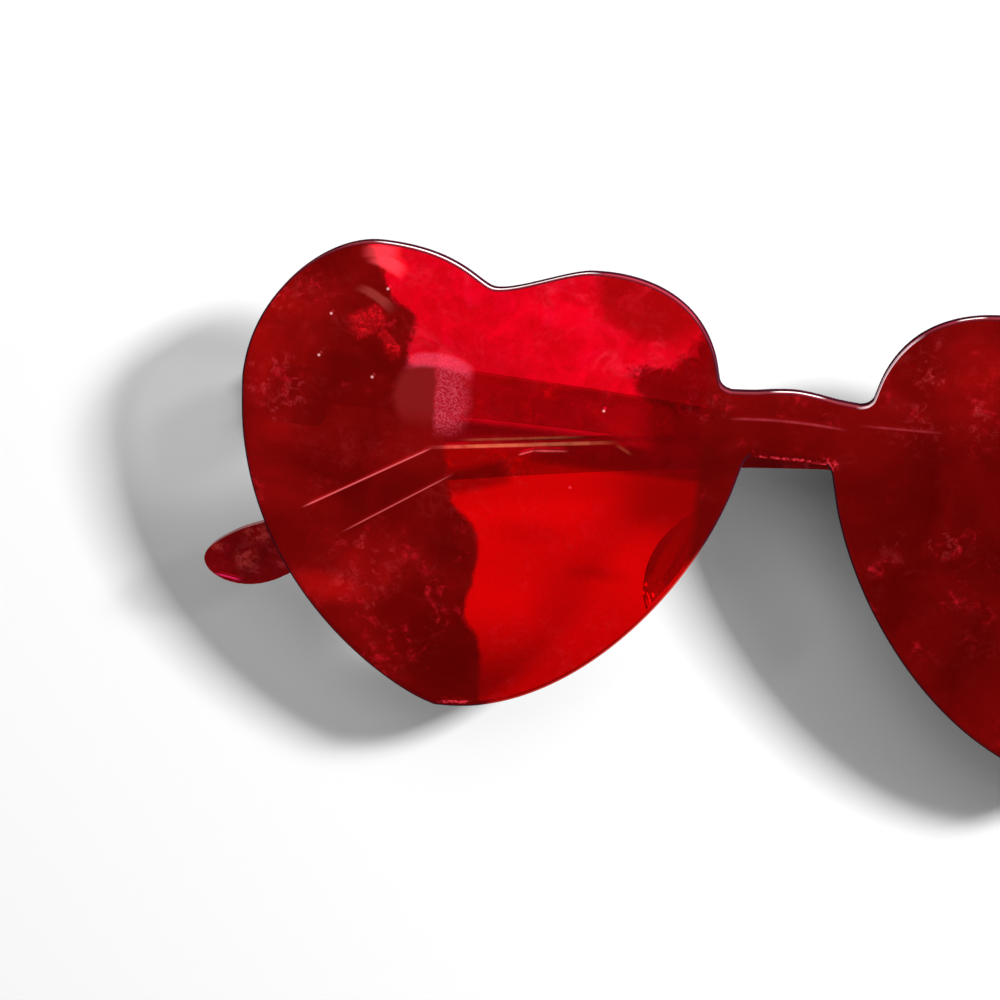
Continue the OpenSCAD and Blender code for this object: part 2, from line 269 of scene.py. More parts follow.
def finish_plastic(g, tint, roughness, shade, clearness, painted_glow=None, gloss=0.5):
    """Clear tinted plastic. Shadow rays and light scattered off the table pass it as plain grey, by the
    value shade, so that its shadow isn't coloured. Its glow is an emitted colour: painted light that makes
    parts of it glow."""
    shader = g.add("ShaderNodeBsdfPrincipled")
    g.put(shader.inputs["Base Color"], tint)
    g.put(shader.inputs["Roughness"], roughness)
    g.put(shader.inputs["IOR"], 1.49)
    g.put(shader.inputs["Transmission Weight"], clearness)
    g.put(shader.inputs["Specular IOR Level"], gloss)
    if painted_glow is not None:
        g.put(shader.inputs["Emission Color"], painted_glow)
        g.put(shader.inputs["Emission Strength"], 1.0)
    clear = g.add("ShaderNodeBsdfTransparent")
    g.put(clear.inputs["Color"], (shade, shade, shade, 1) if isinstance(shade, float) else shade)
    path = g.add("ShaderNodeLightPath")
    both = g.add("ShaderNodeMixShader")
    g.put(both.inputs[0], g.math("MAXIMUM", path.outputs["Is Shadow Ray"], path.outputs["Is Diffuse Ray"]))
    g.put(both.inputs[1], shader.outputs[0])
    g.put(both.inputs[2], clear.outputs[0])
    g.put(g.add("ShaderNodeOutputMaterial").inputs[0], both.outputs[0])


# Left edge of the bright cloud of painted light in the right lens: its place across the sheet at heights up
# the sheet, in mm
CLOUD_LOW, CLOUD_HIGH = -46.0, 22.0
CLOUD_LEFT, CLOUD_RIGHT = -62.0, -38.0
CLOUD_EDGE = (
    (-46, -38.6), (-35, -39.3), (-32, -41.5), (-25.7, -40.5), (-20.4, -40.6),
    (-15.8, -44.2), (-8, -46), (0, -49.5), (3.9, -51.9), (5.9, -51.6),
    (8.7, -51), (11.2, -54.2), (15.4, -56.1), (18, -57.5), (22, -60.5),
)
# All places and sizes of spots and strokes below are in millimetres in the sheet's frame.
# Painted light and shade in the sheet's tint: its brightly lit cloud, shaded patches in it, the shaded heel
# and band, and the shaded rest, darker or lighter at random
PAINTED_LIGHT_TOP = (0.93, 0.0, 0.014, 1)
PAINTED_LIGHT_DIM = (0.70, 0.0, 0.006, 1)
PAINTED_LIGHT_PALE = (0.98, 0.02, 0.05, 1)
PAINTED_LIGHT_LOW = (0.80, 0.0, 0.001, 1)
PAINTED_SHADE_LOBE = (0.45, 0.001, 0.003, 1)
PAINTED_SHADE_CORNER = (0.26, 0.0, 0.001, 1)
PAINTED_SHADE_LOW = (0.33, 0.0, 0.0, 1)
PAINTED_SHADE_HEEL = (0.2, 0.0, 0.001, 1)
PAINTED_SHADE_BAND = (0.24, 0.0, 0.002, 1)
PAINTED_SHADE_DARK = (0.03, 0.0, 0.0, 1)
PAINTED_SHADE_LIGHT = (0.08, 0.001, 0.001, 1)
# Painted glow of the shaded parts, from their deepest patches to their palest, and of their mottles
PAINTED_GLOW_DEEP = (0.075, 0.0, 0.0, 1)
PAINTED_GLOW_MIDDLE = (0.138, 0.001, 0.001, 1)
PAINTED_GLOW_PALE = (0.29, 0.002, 0.002, 1)
BLOT_GLOW = (0.46, 0.006, 0.014, 1)
NO_GLOW = (0.0, 0.0, 0.0, 1)
# Tints and painted glow of what lies on it: lint and scratches, dust, frosting, greasy smears, smudges on a
# temple's ear and bright islands of painted light; painted highlights of the folded temples' face and edges
# where they show through, and painted glints
MARK_COLOUR = (0.9, 0.12, 0.14, 1)
MARK_PAINTED_GLOW = (0.42, 0.035, 0.05, 1)
DUST_PAINTED_GLOW = (0.85, 0.4, 0.4, 1)
FROST_HAZE = (0.6, 0.05, 0.1, 1)
FROST_GRAIN = (0.6, 0.075, 0.12, 1)
FROST_GROUND = (0.34, 0.008, 0.018, 1)
FROST_TINT = (0.06, 0.0, 0.003, 1)
FROST_DULL = (0.22, 0.013, 0.013, 1)
SMEAR_GLOW = (0.95, 0.07, 0.09, 1)
SMEAR_DULL = (0.32, 0.045, 0.038, 1)
ISLAND_PAINTED_LIGHT = (0.72, 0.005, 0.013, 1)
TEMPLE_HIGHLIGHT_PINK = (0.58, 0.07, 0.065, 1)
TEMPLE_HIGHLIGHT_TAN = (0.62, 0.17, 0.08, 1)
EAR_SMUDGE = (0.27, 0.03, 0.025, 1)
EAR_GLINT = (0.62, 0.015, 0.1, 1)
TEMPLE_EDGE_HIGHLIGHT = (0.8, 0.11, 0.12, 1)
GLINT_GLOW = (0.7, 0.03, 0.05, 1)
# Grains of dust on the right lens
DUST = ((-62.5, 8.6), (-63.8, 2.7), (-55.1, 12.8), (-25.0, -0.5), (-56.4, 0.5))
# Share of the light that each of the sheet's faces lets by in a shadow: in the right lens's clear part,
# in its dense part above and below, at the bridge and in the left lens
CLEAR_PASS = 0.96
UPPER_PASS = 0.66
LOWER_PASS = 0.47
BRIDGE_PASS = 0.27
LEFT_LENS_PASS = 0.42


def cloud_side(g, y):
    """Place across the sheet of the left edge of the bright cloud of painted light, as a curve over the
    height up the sheet."""
    curve = g.add("ShaderNodeFloatCurve")
    g.put(curve.inputs["Value"], g.ramp_line(y, CLOUD_LOW, CLOUD_HIGH, 0.0, 1.0))
    line = curve.mapping.curves[0]
    rows = [
        ((v - CLOUD_LOW) / (CLOUD_HIGH - CLOUD_LOW), (u - CLOUD_LEFT) / (CLOUD_RIGHT - CLOUD_LEFT))
        for v, u in CLOUD_EDGE
    ]
    line.points[0].location, line.points[1].location = rows[0], rows[-1]
    for row in rows[1:-1]:
        line.points.new(*row)
    curve.mapping.update()
    return g.ramp_line(curve.outputs[0], 0.0, 1.0, CLOUD_LEFT, CLOUD_RIGHT)


def sheet_tint(g, place, x, y):
    """The sheet's tint with painted light and shade, its painted glow, the mask of its bright cloud of
    painted light, and a quick waver that other marks use for their ragged sides."""
    slow = g.math("MULTIPLY_ADD", g.noise(place, 120.0, 2.0, 0.5, 0.4), 3.0, -1.5)
    quick = g.math("MULTIPLY_ADD", g.noise(place, 400.0, 3.0, 0.6, 0.6), 2.0, -1.0)
    torn = g.math("ADD", slow, quick)
    frayed = g.math("MULTIPLY_ADD", g.noise(place, 900.0, 3.0, 0.6), 2.4, -1.2)
    frayed = g.math("MULTIPLY", frayed, g.ramp(y, -8.0, 2.0, 0.4, 1.0))
    # The bright cloud of painted light lies to the right of its torn left edge
    past = g.math("ADD", g.math("SUBTRACT", x, cloud_side(g, y)), g.math("MULTIPLY_ADD", torn, 0.3, frayed))
    left = g.ramp(past, -0.4, 0.4)
    low = g.ramp(y, -8.5, -7.0, 1.0, 0.0)
    clear = g.math("MULTIPLY", left, g.ramp(g.math("ADD", x, quick), -12.5, -11.0, 1.0, 0.0))
    # Painted light and shade in the bright cloud: pale wisps, and darker patches, torn ones by the inner
    # lobe and soft ones low down
    wisps = g.math("MULTIPLY", g.ramp(g.noise(place, 190.0, 6.0, 0.7, 1.0), 0.5, 0.7), g.ramp(y, 3.0, 5.0))
    smoke = placed_group(g, SCRATCH_AND_WISP_LINES, place, Scale=190.0, Width=0.3)
    wisps = most(g, wisps, g.math("MULTIPLY", smoke, spot(g, x, y, (-23.0, 10.0), (12.0, 6.5), 0.5)))
    ragged_x = g.math("MULTIPLY_ADD", torn, 1.2, x)
    ragged_y = g.math("MULTIPLY_ADD", slow, 1.5, g.math("MULTIPLY_ADD", quick, 1.5, y))
    lobe = spot(g, ragged_x, ragged_y, (-19.5, 17.0), (7.8, 8.0), 0.25)
    jagged = g.math("MULTIPLY_ADD", g.noise(place, 420.0, 5.0, 0.7, 0.8), 9.0, -4.5)
    jagged_x, jagged_y = g.math("ADD", x, jagged), g.math("SUBTRACT", y, g.math("MULTIPLY", jagged, 0.7))
    corner = most(
        g,
        spot(g, ragged_x, ragged_y, (-11.2, 8.5), (2.4, 6.5), 0.3),
        spot(g, jagged_x, jagged_y, (-12.0, 6.0), (3.5, 4.0), 0.25),
        spot(g, jagged_x, jagged_y, (-16.6, 3.6), (4.8, 2.8), 0.25),
    )
    # Painted shade low down: a small patch, the broad patch around it, a dip above, the foot near the tip,
    # the side along the inner edge and a streak at this part's upper left
    low_shade_spot = spot(g, x, g.math("ADD", y, quick), (-24.1, -23.6), (5.0, 1.5), 0.9)
    broad = spot(g, x, y, (-28.0, -23.0), (10.0, 5.0), 0.8)
    dip = spot(g, x, y, (-33.0, -19.4), (6.0, 2.0), 0.8)
    foot = spot(g, g.math("ADD", x, slow), y, (-31.0, -40.0), (14.0, 8.0), 0.6)
    side = spot(g, g.math("ADD", x, slow), y, (-23.0, -32.0), (9.0, 9.0), 0.8)
    shade_streak = stroke(g, x, y, (-47.0, -14.0), (-36.0, -10.2), 4.6, 2.5)
    mottle = g.ramp(g.noise(place, 230.0, 5.0, 0.65, 0.8), 0.38, 0.62)
    bright = g.mix(g.math("MULTIPLY", wisps, 0.9), g.mix(mottle, PAINTED_LIGHT_DIM, PAINTED_LIGHT_TOP), PAINTED_LIGHT_PALE)
    bright = g.mix(low, bright, PAINTED_LIGHT_LOW)
    bright = g.mix(g.math("SUBTRACT", lobe, g.math("MULTIPLY", wisps, 0.5), clamp=True), bright, PAINTED_SHADE_LOBE)
    bright = g.mix(corner, bright, PAINTED_SHADE_CORNER)
    soft = most(
        g,
        g.math("MULTIPLY", low_shade_spot, 0.55),
        g.math("MULTIPLY", broad, 0.3),
        g.math("MULTIPLY", dip, 0.35),
        g.math("MULTIPLY", foot, 0.5),
        g.math("MULTIPLY", shade_streak, 0.8),
        g.math("MULTIPLY", side, 0.4),
    )
    bright = g.mix(soft, bright, PAINTED_SHADE_LOW)
    # Painted shade: a darker band across the lens, over the folded temples. Its lower side runs along the
    # painted highlight of a temple's upper face.
    above_highlight_line = g.ramp(g.math("SUBTRACT", y, g.math("MULTIPLY_ADD", x, 0.147, -1.24)), -0.3, 0.3)
    band = g.math("MULTIPLY", above_highlight_line, g.ramp(y, -4.8, -3.4, 1.0, 0.0))
    bright = g.mix(band, bright, PAINTED_SHADE_BAND)
    # Painted shade along the inner edge, low down
    heel = most(
        g,
        g.math("MULTIPLY", g.ramp(x, -22.0, -16.0), between(g, y, -8.9, 4.0, 0.6)),
        g.math("MULTIPLY", g.ramp(x, -38.0, -30.0), between(g, y, -8.9, -5.0, 0.5)),
    )
    bright = g.mix(g.math("MULTIPLY", heel, 0.6), bright, PAINTED_SHADE_HEEL)
    # The rest of the sheet is painted shade, darker or lighter at random
    depth = placed_group(g, CLOUDS, place, Scale=75.0)
    tint = g.mix(clear, g.mix(depth, PAINTED_SHADE_DARK, PAINTED_SHADE_LIGHT), bright)
    # Deep and pale patches of the painted glow in the shaded part
    deep = most(
        g,
        spot(g, x, y, (-60.5, -6.0), (6.5, 7.5), 0.7),
        spot(g, x, y, (-43.5, -33.0), (5.5, 14.0), 0.7),
        spot(g, x, y, (26.0, -10.0), (9.0, 13.0), 0.7),
        spot(g, x, y, (15.0, -24.0), (7.0, 13.0), 0.7),
        spot(g, x, y, (23.0, -28.0), (9.0, 12.0), 0.7),
    )
    pale = most(
        g,
        g.math("MULTIPLY", spot(g, x, y, (-60.5, -30.0), (5.0, 2.0), 0.8), 0.7),
        g.math("MULTIPLY", spot(g, x, y, (-54.5, -25.0), (6.0, 4.0), 0.8), 0.45),
        g.math("MULTIPLY", spot(g, x, y, (-70.0, 2.0), (5.0, 14.0), 0.8), 0.5),
        g.math("MULTIPLY", spot(g, x, y, (24.0, 8.0), (8.0, 7.0), 0.8), 0.5),
    )
    tone = g.math("MULTIPLY_ADD", depth, 0.3, 0.2)
    tone = g.math("ADD", tone, g.math("MULTIPLY", pale, 0.8))
    tone = g.math("SUBTRACT", tone, g.math("MULTIPLY", deep, 0.25), clamp=True)
    painted_haze = g.mix(g.ramp_line(tone, 0.0, 0.5, 0.0, 1.0), PAINTED_GLOW_DEEP, PAINTED_GLOW_MIDDLE)
    painted_haze = g.mix(g.ramp_line(tone, 0.5, 1.0, 0.0, 1.0), painted_haze, PAINTED_GLOW_PALE)
    # Painted glow in mottles everywhere but in two calm parts
    calm = most(
        g,
        spot(g, x, y, (-58.0, -9.5), (13.0, 8.0), 0.5),
        spot(g, x, y, (20.0, -6.0), (14.0, 7.0), 0.5),
    )
    blots = placed_group(g, BLOTS, place, Scale=700.0)
    blots = g.math("MULTIPLY", blots, g.ramp_line(calm, 0.0, 1.0, 0.85, 0.1))
    painted_haze = g.mix(blots, painted_haze, BLOT_GLOW)
    return tint, g.mix(clear, painted_haze, NO_GLOW), left, quick


def add_marks(g, place, x, y, tint, painted_glow):
    """Lint and scratches where hands hold the lens, pale flecks at the left lens's inner lobe, a few specks
    of dust everywhere and the grains of DUST, all of them also given a painted glow."""
    held = most(
        g,
        spot(g, x, y, (-69.5, 0.5), (4.5, 13.0), 0.4),
        g.math("MULTIPLY", spot(g, x, y, (-56.0, -27.0), (5.0, 6.0), 0.4), 0.7),
        g.math("MULTIPLY", spot(g, x, y, (19.0, -14.0), (6.0, 4.0), 0.4), 0.6),
        g.math("MULTIPLY", spot(g, x, y, (21.0, 4.0), (7.0, 3.0), 0.4), 0.6),
        g.math("MULTIPLY", spot(g, x, y, (-12.0, -2.0), (4.0, 5.0), 0.4), 0.4),
    )
    rubs = placed_group(g, SCRATCH_AND_WISP_LINES, place, Scale=300.0, Width=0.08)
    lint = placed_group(g, SCRATCH_AND_WISP_LINES, place, Scale=700.0, Width=0.12)
    held = g.math("MAXIMUM", held, 0.12)
    curls = g.math("MULTIPLY", g.math("MULTIPLY", most(g, rubs, lint), 0.45), held)
    flecks = placed_group(g, BLOTS, place, Scale=1000.0)
    flecks = g.math("MULTIPLY", flecks, spot(g, x, y, (17.0, 6.5), (8.0, 7.0), 0.5))
    curls = most(g, curls, g.math("MULTIPLY", flecks, 0.6))
    specks = placed_group(g, SPECKS, place, Scale=420.0, Share=0.008)
    marks = g.math("MULTIPLY", most(g, curls, specks), 0.6)
    grains = most(g, *[spot(g, x, y, at, (0.17, 0.17), 0.6) for at in DUST])
    # Painted glow on the marks and the dust grains
    painted_glow = g.mix(g.math("MULTIPLY", marks, 0.8), painted_glow, MARK_PAINTED_GLOW)
    return g.mix(marks, tint, MARK_COLOUR), g.mix(grains, painted_glow, DUST_PAINTED_GLOW)


def add_frost(g, place, x, y, quick, painted_glow):
    """Frosted patch where a finger pushes the glasses up, shown by painted glow, with a pink haze of
    painted glow above it; and by its side greasy smears whose brightness is painted glow, and ragged bright
    islands of painted light."""
    wavy = g.math("MULTIPLY_ADD", quick, 0.6, x)
    ragged = g.math("MULTIPLY_ADD", quick, 1.6, y)
    swaying = g.math("MULTIPLY_ADD", quick, 0.3, y)
    # Pink haze of painted glow above the frosted patch
    painted_haze = stroke(g, wavy, swaying, (-52.4, 2.8), (-42.4, 2.2), 2.6, 2.0, 1.3)
    inner = g.ramp(wavy, -48.1, -47.2)
    foot = g.ramp(y, -6.5, -2.5)
    flat = spot(g, wavy, y, (-49.6, -1.6), (3.6, 5.0), 0.18)
    flat = g.math("MULTIPLY", g.math("MULTIPLY", flat, g.math("SUBTRACT", 1.0, inner)), foot)
    grain = g.ramp(g.noise(place, 3800.0, 2.0, 0.6, 1.0), 0.44, 0.6)
    grainy = g.math("MULTIPLY", spot(g, wavy, y, (-46.9, -1.6), (3.3, 5.6), 0.45), inner)
    grainy = g.math("MULTIPLY", grainy, g.ramp(y, -7.5, -4.5))
    # The frosted patch shows by painted glow: dull on its outer part, grainy on its inner part
    painted_glow = g.mix(g.math("MULTIPLY", flat, 0.65), painted_glow, FROST_DULL)
    painted_glow = g.mix(g.math("MULTIPLY", grainy, 0.72), painted_glow, g.mix(grain, FROST_GROUND, FROST_GRAIN))
    painted_glow = g.mix(g.math("MULTIPLY", painted_haze, g.math("MULTIPLY_ADD", grain, 0.3, 0.55)), painted_glow, FROST_HAZE)
    uneven = g.math("MULTIPLY_ADD", quick, 0.4, y)
    # Smears whose brightness is painted glow
    upper = stroke(g, x, g.math("MULTIPLY_ADD", quick, 0.6, y), (-59.4, 17.5), (-53.2, 18.0), 2.2, 2.6)
    lower = stroke(g, x, uneven, (-58.4, 17.2), (-52.6, 14.8), 2.7, 2.2, 0.4)
    smear = most(g, g.math("MULTIPLY", upper, 0.85), lower)
    dull = stroke(g, x, uneven, (-59.8, 12.6), (-53.9, 9.4), 1.7, 2.4, 0.7)
    veins = placed_group(g, SCRATCH_AND_WISP_LINES, place, Scale=900.0, Width=0.2)
    veins = most(g, g.ramp(g.noise(place, 1100.0, 3.0, 0.7, 1.0), 0.5, 0.62), veins)
    # Ragged bright islands of painted light
    islands = most(
        g,
        stroke(g, wavy, ragged, (-60.4, 6.6), (-54.8, 9.6), 4.2, 1.6),
        stroke(g, wavy, ragged, (-56.0, 7.2), (-53.0, 3.4), 2.4, 1.2),
    )
    painted_glow = g.mix(g.math("MULTIPLY", smear, 0.75), painted_glow, SMEAR_GLOW)
    painted_glow = g.mix(g.math("MULTIPLY", dull, 0.6), painted_glow, SMEAR_DULL)
    painted_glow = g.mix(g.math("MULTIPLY", islands, g.math("MULTIPLY_ADD", veins, 0.6, 0.2)), painted_glow, ISLAND_PAINTED_LIGHT)
    return painted_glow, most(g, g.math("MULTIPLY", painted_haze, 0.8), flat, grainy)


def add_lines(g, place, x, y, quick, painted_glow):
    """Painted highlights of the folded temples' upper face and edges where they show through the sheet, a
    line along the bridge painted as glow, and painted glints on the bridge's lower edge and the right
    heart's tip."""
    patchy = g.math("MULTIPLY_ADD", g.noise(place, 700.0, 3.0), 1.3, 0.1, clamp=True)
    # Painted highlight of a folded temple's upper face, seen through the sheet, patchy and fading towards
    # the bridge
    face_highlight = most(
        g,
        stroke(g, x, y, (-48.8, -8.5), (-22.0, -4.5), 0.66, 5.0),
        g.math("MULTIPLY", stroke(g, x, y, (-45.0, -7.0), (-26.0, -4.2), 0.5, 5.0), 0.35),
        g.math("MULTIPLY", stroke(g, x, y, (-23.2, -4.8), (-20.6, -6.2), 0.6, 1.0), 0.5),
    )
    highlight_colour = g.mix(g.ramp(x, -47.0, -40.0), TEMPLE_HIGHLIGHT_PINK, TEMPLE_HIGHLIGHT_TAN)
    fading = g.ramp_line(x, -45.0, -22.0, 1.0, 0.35)
    painted_glow = g.mix(g.math("MULTIPLY", g.math("MULTIPLY", face_highlight, patchy), fading), painted_glow, highlight_colour)
    # A second, shorter painted highlight
    second = most(
        g,
        stroke(g, x, y, (-36.0, -8.0), (-33.6, -7.0), 0.35, 0.6),
        stroke(g, x, y, (-34.4, -7.2), (-29.0, -6.6), 0.42, 1.5),
    )
    # Painted highlights along the folded temples' edges
    edge_highlights = most(
        g,
        stroke(g, x, y, (-65.0, -19.1), (-47.3, -8.2), 0.32, 2.0),
        g.math("MULTIPLY", stroke(g, x, y, (-59.5, -22.1), (-44.0, -11.4), 0.26, 4.0), 0.75),
        g.math("MULTIPLY", g.math("MULTIPLY", second, patchy), 0.75),
    )
    painted_glow = g.mix(g.math("MULTIPLY", edge_highlights, 0.9), painted_glow, TEMPLE_EDGE_HIGHLIGHT)
    # Line along the bridge, painted as glow
    bridge_line = most(
        g,
        stroke(g, x, y, (-9.0, 0.3), (7.6, 0.6), 0.5, 3.0, 0.5),
        g.math("MULTIPLY", stroke(g, x, y, (8.0, 1.5), (20.5, 1.8), 0.44, 4.0), 0.8),
    )
    painted_glow = g.mix(g.math("MULTIPLY", bridge_line, g.math("MULTIPLY", patchy, 0.7)), painted_glow, MARK_PAINTED_GLOW)
    # Painted glints on the bridge's lower edge and the right heart's tip
    painted_glints = most(
        g,
        stroke(g, x, g.math("MULTIPLY_ADD", quick, 0.3, y), (-4.6, -4.5), (4.8, -4.55), 0.5, 1.0, 0.45),
        spot(g, g.math("MULTIPLY_ADD", quick, 0.8, x), y, (5.0, -4.4), (1.5, 0.8), 0.5),
        stroke(g, x, y, (-44.3, -44.7), (-39.3, -44.2), 0.6, 1.0),
    )
    sparkle = g.ramp(g.noise(place, 1800.0, 3.0, 0.7), 0.45, 0.6)
    return g.mix(g.math("MULTIPLY", painted_glints, sparkle), painted_glow, GLINT_GLOW)


def sheet_material():
    """Clear red sheet, with light and shade painted into its tint and glow: a bright cloud of painted light
    in the right lens, painted shade elsewhere, with its marks on it. The light that it lets by in a shadow
    follows the tint, and falls off towards the left lens's upper part."""
    material, g = new_material("clear_red_sheet")
    place, x, y = sheet_place(g)
    tint, painted_glow, left, quick = sheet_tint(g, place, x, y)
    tint, painted_glow = add_marks(g, place, x, y, tint, painted_glow)
    painted_glow, frost = add_frost(g, place, x, y, quick, painted_glow)
    tint = g.mix(g.math("MULTIPLY", frost, 0.85), tint, FROST_TINT)
    painted_glow = add_lines(g, place, x, y, quick, painted_glow)
    rough = g.math("MULTIPLY_ADD", frost, 0.12, 0.03)
    dense = g.ramp_line(y, -14.0, -4.0, LOWER_PASS, UPPER_PASS)
    open_part = g.math("MULTIPLY", left, g.ramp(x, -51.0, -46.0))
    open_part = g.math("MULTIPLY", g.ramp(y, -33.0, -26.0), open_part)
    right_lens = g.math("MULTIPLY_ADD", open_part, g.math("SUBTRACT", CLEAR_PASS, dense), dense)
    left_lens = g.ramp_line(x, 4.0, 11.0, BRIDGE_PASS, LEFT_LENS_PASS)
    left_lens = g.math("MULTIPLY", left_lens, g.ramp_line(y, -13.0, 4.0, 0.85, 0.38))
    over = g.ramp(x, -3.0, 2.0)
    shade = g.math("MULTIPLY_ADD", over, g.math("SUBTRACT", left_lens, right_lens), right_lens)
    finish_plastic(g, tint, rough, shade, 0.85, painted_glow)
    return material


# Painted light and shade of the sawn edge: a painted highlight where it faces the light, rose, brown or a
# thin dark pink by turns where it catches less, its inner side painted as lit, and its back in painted
# shade. Then those of the softened corner beside it, also painted light and shade
EDGE_WHITE = (0.95, 0.86, 0.85, 1)
EDGE_ROSE = (0.35, 0.03, 0.05, 1)
EDGE_BROWN = (0.16, 0.035, 0.035, 1)
EDGE_THIN = (0.05, 0.003, 0.012, 1)
EDGE_INNER = (0.6, 0.01, 0.012, 1)
EDGE_DARK = (0.045, 0.004, 0.011, 1)
RIM_DARK = (0.05, 0.006, 0.014, 1)
RIM_RED = (0.2, 0.012, 0.02, 1)
RIM_WHITE = (0.95, 0.62, 0.68, 1)
RIM_LIT = (0.6, 0.04, 0.03, 1)


def along_low_part(g, x, y):
    """1 along the right heart's lower inner side, where the low part of painted light meets the edge."""
    return g.math("MULTIPLY", between(g, x, -37.0, -11.0, 1.5), g.ramp(y, -18.0, -15.0, 1.0, 0.0))


def edge_material():
    """Sawn edge of the sheet, with painted light and shade: a painted highlight, rose or brown by turns
    along the hearts on its front third, with a dark line of painted shade along its back. It is painted
    dark when seen from inside, but painted as lit red along the low lit part."""
    material, g = new_material("sawn_edge")
    place, x, y = sheet_place(g)
    dot = g.add("ShaderNodeVectorMath", operation="DOT_PRODUCT")
    g.put(dot.inputs[0], place)
    dot.inputs[1].default_value = SHEET_Z / MM
    # Height over the front face, so it is below zero on the whole edge
    deep = g.math("SUBTRACT", dot.outputs["Value"], SHEET_ORIGIN.dot(SHEET_Z) / MM)
    front_third = g.ramp(deep, -0.8, -0.65)
    # Painted highlight where the edge faces the light, rose or brown by turns beside it
    edge_highlight_part = most(
        g,
        between(g, x, -56.6, -28.0, 1.2),
        between(g, x, -2.8, 3.4, 0.8),
        between(g, x, 19.8, 23.0, 0.5),
    )
    rose = most(g, between(g, x, -27.0, -14.0, 1.0), between(g, x, 13.6, 19.8, 0.5))
    brown = most(g, between(g, x, -61.5, -56.0, 0.8), between(g, x, -9.5, -2.8, 0.6), g.ramp(x, 3.0, 4.5))
    pale = g.mix(brown, EDGE_THIN, EDGE_BROWN)
    pale = g.mix(rose, pale, EDGE_ROSE)
    pale = g.mix(edge_highlight_part, pale, EDGE_WHITE)
    # From inside, painted shade, but painted as lit red along the low lit part
    inside = g.add("ShaderNodeNewGeometry").outputs["Backfacing"]
    lit = along_low_part(g, x, y)
    shaded = g.mix(g.math("MULTIPLY", lit, inside), EDGE_DARK, EDGE_INNER)
    tint = g.mix(g.math("MULTIPLY", front_third, g.math("SUBTRACT", 1.0, inside)), shaded, pale)
    shade = g.math("MULTIPLY_ADD", between(g, x, -15.0, -3.5, 1.0), 0.5, LEFT_LENS_PASS)
    finish_plastic(g, tint, 0.3, shade, 0.0, gloss=0.0)
    return material


def rim_material():
    """Softened corner between the front face and the sawn edge: a thin dark line of painted shade, painted
    lighter red on its upper side, a painted white highlight at the left heart's inner lobe, and painted as
    lit red along the low lit part."""
    material, g = new_material("dark_rim")
    place, x, y = sheet_place(g)
    lit = along_low_part(g, x, y)
    normal = g.add("ShaderNodeNewGeometry").outputs["Normal"]
    upward = g.add("ShaderNodeVectorMath", operation="DOT_PRODUCT")
    g.put(upward.inputs[0], normal)
    upward.inputs[1].default_value = SHEET_Y
    # Painted light: lighter red where the corner faces up the hearts, and a painted white highlight at the
    # left heart's inner lobe
    rim = g.mix(g.ramp(upward.outputs["Value"], 0.15, 0.5), RIM_DARK, RIM_RED)
    shining = g.math("MULTIPLY", between(g, x, 9.0, 14.8, 1.2), g.ramp(y, 2.0, 4.0))
    rim = g.mix(shining, rim, RIM_WHITE)
    finish_plastic(g, g.mix(lit, rim, RIM_LIT), 0.2, LEFT_LENS_PASS, 0.0, gloss=0.02)
    return material


# Tints and painted glow of the temples and hinge blocks, and tints of the nose pads seen square on and from
# the side
ARM_DARK = (0.1, 0.0, 0.002, 1)
ARM_LIGHT = (0.2, 0.001, 0.004, 1)
ARM_PAINTED_GLOW_DEEP = (0.03, 0.0004, 0.0004, 1)
ARM_PAINTED_GLOW_PALE = (0.06, 0.001, 0.001, 1)
PAD_SQUARE = (0.42, 0.0, 0.006, 1)
PAD_SIDE = (0.1, 0.0, 0.001, 1)


def arm_material():
    """Clear red strip of the temples, dense and handled, with rub marks, and with mottles, smudges and a
    glint in painted glow.
    """
    material, g = new_material("clear_red_arm")
    place, x, y = sheet_place(g)
    depth = placed_group(g, CLOUDS, place, Scale=90.0)
    tint = g.mix(depth, ARM_DARK, ARM_LIGHT)
    rubs = placed_group(g, SCRATCH_AND_WISP_LINES, place, Scale=260.0, Width=0.06)
    tint = g.mix(g.math("MULTIPLY", rubs, 0.4), tint, MARK_COLOUR)
    # Painted glow of the strip, deeper or paler at random, and of its mottles and rub marks
    painted_glow = g.mix(depth, ARM_PAINTED_GLOW_DEEP, ARM_PAINTED_GLOW_PALE)
    blots = placed_group(g, BLOTS, place, Scale=800.0)
    painted_glow = g.mix(g.math("MULTIPLY", blots, 0.16), painted_glow, MARK_PAINTED_GLOW)
    painted_glow = g.mix(g.math("MULTIPLY", rubs, 0.12), painted_glow, MARK_PAINTED_GLOW)
    # Smudges on the ear of the left temple, which shows past the right heart, painted as glow, and a
    # painted glint along its lower edge
    smudge = most(
        g,
        spot(g, x, y, (-71.4, -24.8), (1.8, 1.3), 0.6),
        spot(g, x, y, (-72.8, -28.4), (1.5, 1.7), 0.6),
        spot(g, x, y, (-76.4, -27.2), (1.4, 0.6), 0.6),
    )
    smudge = g.math("MULTIPLY", smudge, g.ramp(g.noise(place, 900.0, 4.0, 0.7), 0.42, 0.62))
    painted_glow = g.mix(g.math("MULTIPLY", smudge, 0.5), painted_glow, EAR_SMUDGE)
    painted_glow = g.mix(stroke(g, x, y, (-77.2, -31.0), (-73.0, -31.8), 0.34, 1.4), painted_glow, EAR_GLINT)
    finish_plastic(g, tint, 0.06, 0.9, 0.7, painted_glow, 0.05)
    return material


def pad_material():
    """Clear red moulding of the nose pads, denser where it is seen from the side."""
    material, g = new_material("clear_red_pad")
    side = g.add("ShaderNodeLayerWeight")
    side.inputs["Blend"].default_value = 0.5
    tint = g.mix(g.ramp(side.outputs["Facing"], 0.15, 0.6), PAD_SQUARE, PAD_SIDE)
    finish_plastic(g, tint, 0.12, 0.85, 0.85)
    return material


